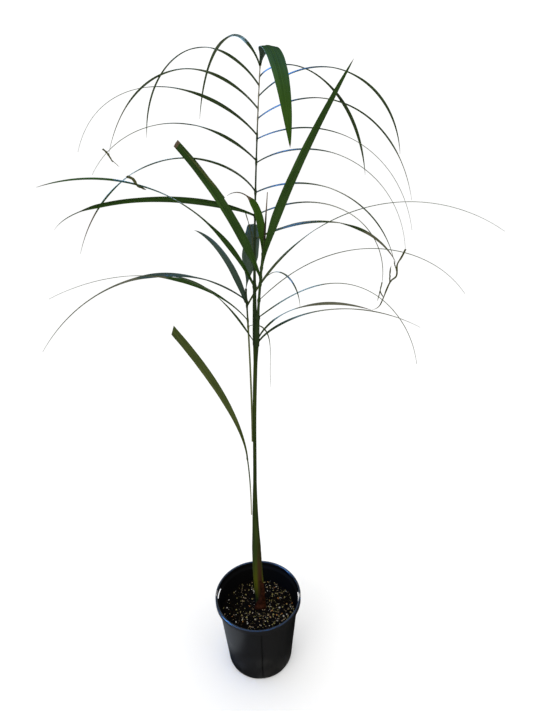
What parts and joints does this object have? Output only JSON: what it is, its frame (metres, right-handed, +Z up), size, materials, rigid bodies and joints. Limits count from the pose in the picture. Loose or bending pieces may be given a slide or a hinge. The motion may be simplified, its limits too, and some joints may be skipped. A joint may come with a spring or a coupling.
{
  "type": "potted cuban royal palm",
  "caption": "Young Cuban royal palm in a round nursery pot: a thin stem of packed sheaths, drooping feather fronds, an unopened spear and a low strap leaf.",
  "frame": {"origin": "centre of the pot's flat underside, on the surface that the pot stands on", "axes": "+Z up the palm, +X to the palm's right as the picture shows it, -Y towards its front"},
  "size_m": [0.8395, 0.5622, 1.3415],
  "materials": {
    "black_plastic": "satin black with a worn lip",
    "potting_mix": "damp bark and fibre with pale granules",
    "stem_green": "smooth ribbed sheath, green with a red-brown side",
    "leaf_green": "glossy dark leaf, ribbed along its length",
    "new_leaf_green": "glossy leaf, ribbed along its length",
    "old_leaf_green": "glossy leaf with a grey-green bloom",
    "spear_tan": "dry tan sheath over green",
    "dry_sheath": "dry red-brown husk",
    "strap_green": "olive leaf, ribbed along its length"
  },
  "bodies": {
    "root": {"pot": "black_plastic", "potting_mix": "potting_mix", "stem": "stem_green", "tall_frond": "leaf_green", "new_frond": "new_leaf_green", "back_frond": "old_leaf_green", "spear": "spear_tan", "sheath_stub": "dry_sheath", "strap_leaf": "strap_green"}
  },
  "joints": []
}
